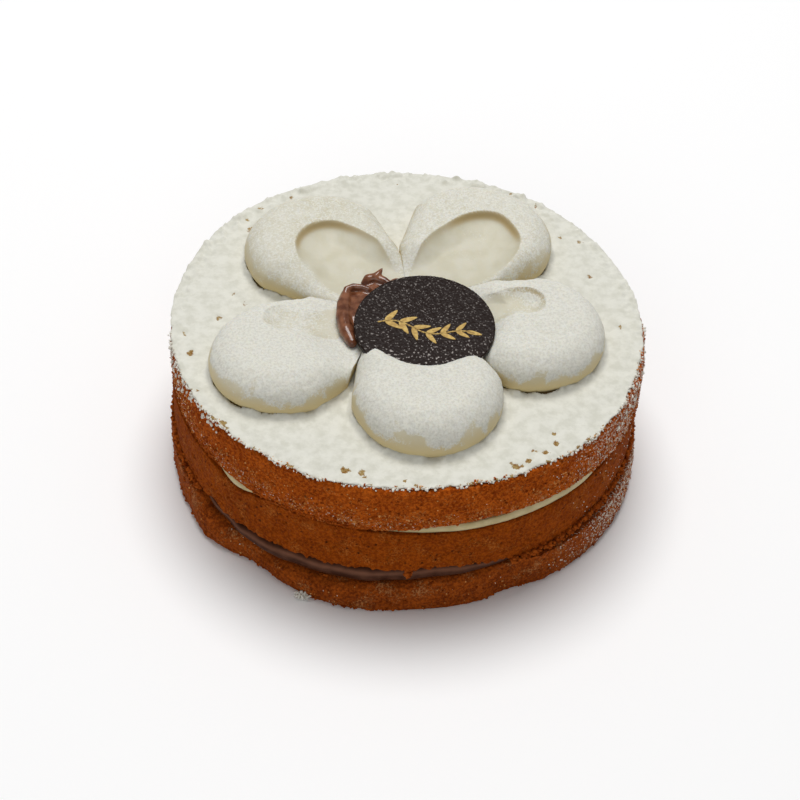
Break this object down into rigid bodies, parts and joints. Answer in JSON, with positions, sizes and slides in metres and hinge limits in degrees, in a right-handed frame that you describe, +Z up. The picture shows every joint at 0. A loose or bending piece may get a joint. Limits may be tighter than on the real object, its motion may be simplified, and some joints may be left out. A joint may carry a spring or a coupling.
{
  "type": "layer cake",
  "caption": "Round layer cake with chocolate and cream fillings, a sugared top and a flower of cream petals round a plain chocolate disc.",
  "frame": {"origin": "on the floor under the middle of the cake", "axes": "+Z up; -Y towards the shown front, +X to the shown right"},
  "size_m": [0.2049, 0.2058, 0.0879],
  "materials": {
    "sponge_bottom": "moist brown sponge, smeared with crumbs",
    "filling_chocolate": "dark chocolate filling, satin gloss",
    "sponge_middle": "brown sponge with fine pores",
    "filling_cream": "khaki-tinted pastry cream, soft satin",
    "sponge_top": "crumbly brown sponge under a coat of icing sugar",
    "whipped_cream": "whipped cream dusted with icing sugar",
    "ganache": "milk chocolate ganache, glossy piped folds",
    "dark_chocolate": "pebbled dark chocolate with fine glints"
  },
  "bodies": {
    "root": {"sponge_bottom": "sponge_bottom", "filling_chocolate": "filling_chocolate", "sponge_middle": "sponge_middle", "filling_cream": "filling_cream", "sponge_top": "sponge_top", "petal_front": "whipped_cream", "petal_right": "whipped_cream", "petal_back_right": "whipped_cream", "petal_back_left": "whipped_cream", "petal_left": "whipped_cream", "ganache_swirl": "ganache", "chocolate_disc": "dark_chocolate"}
  },
  "joints": []
}
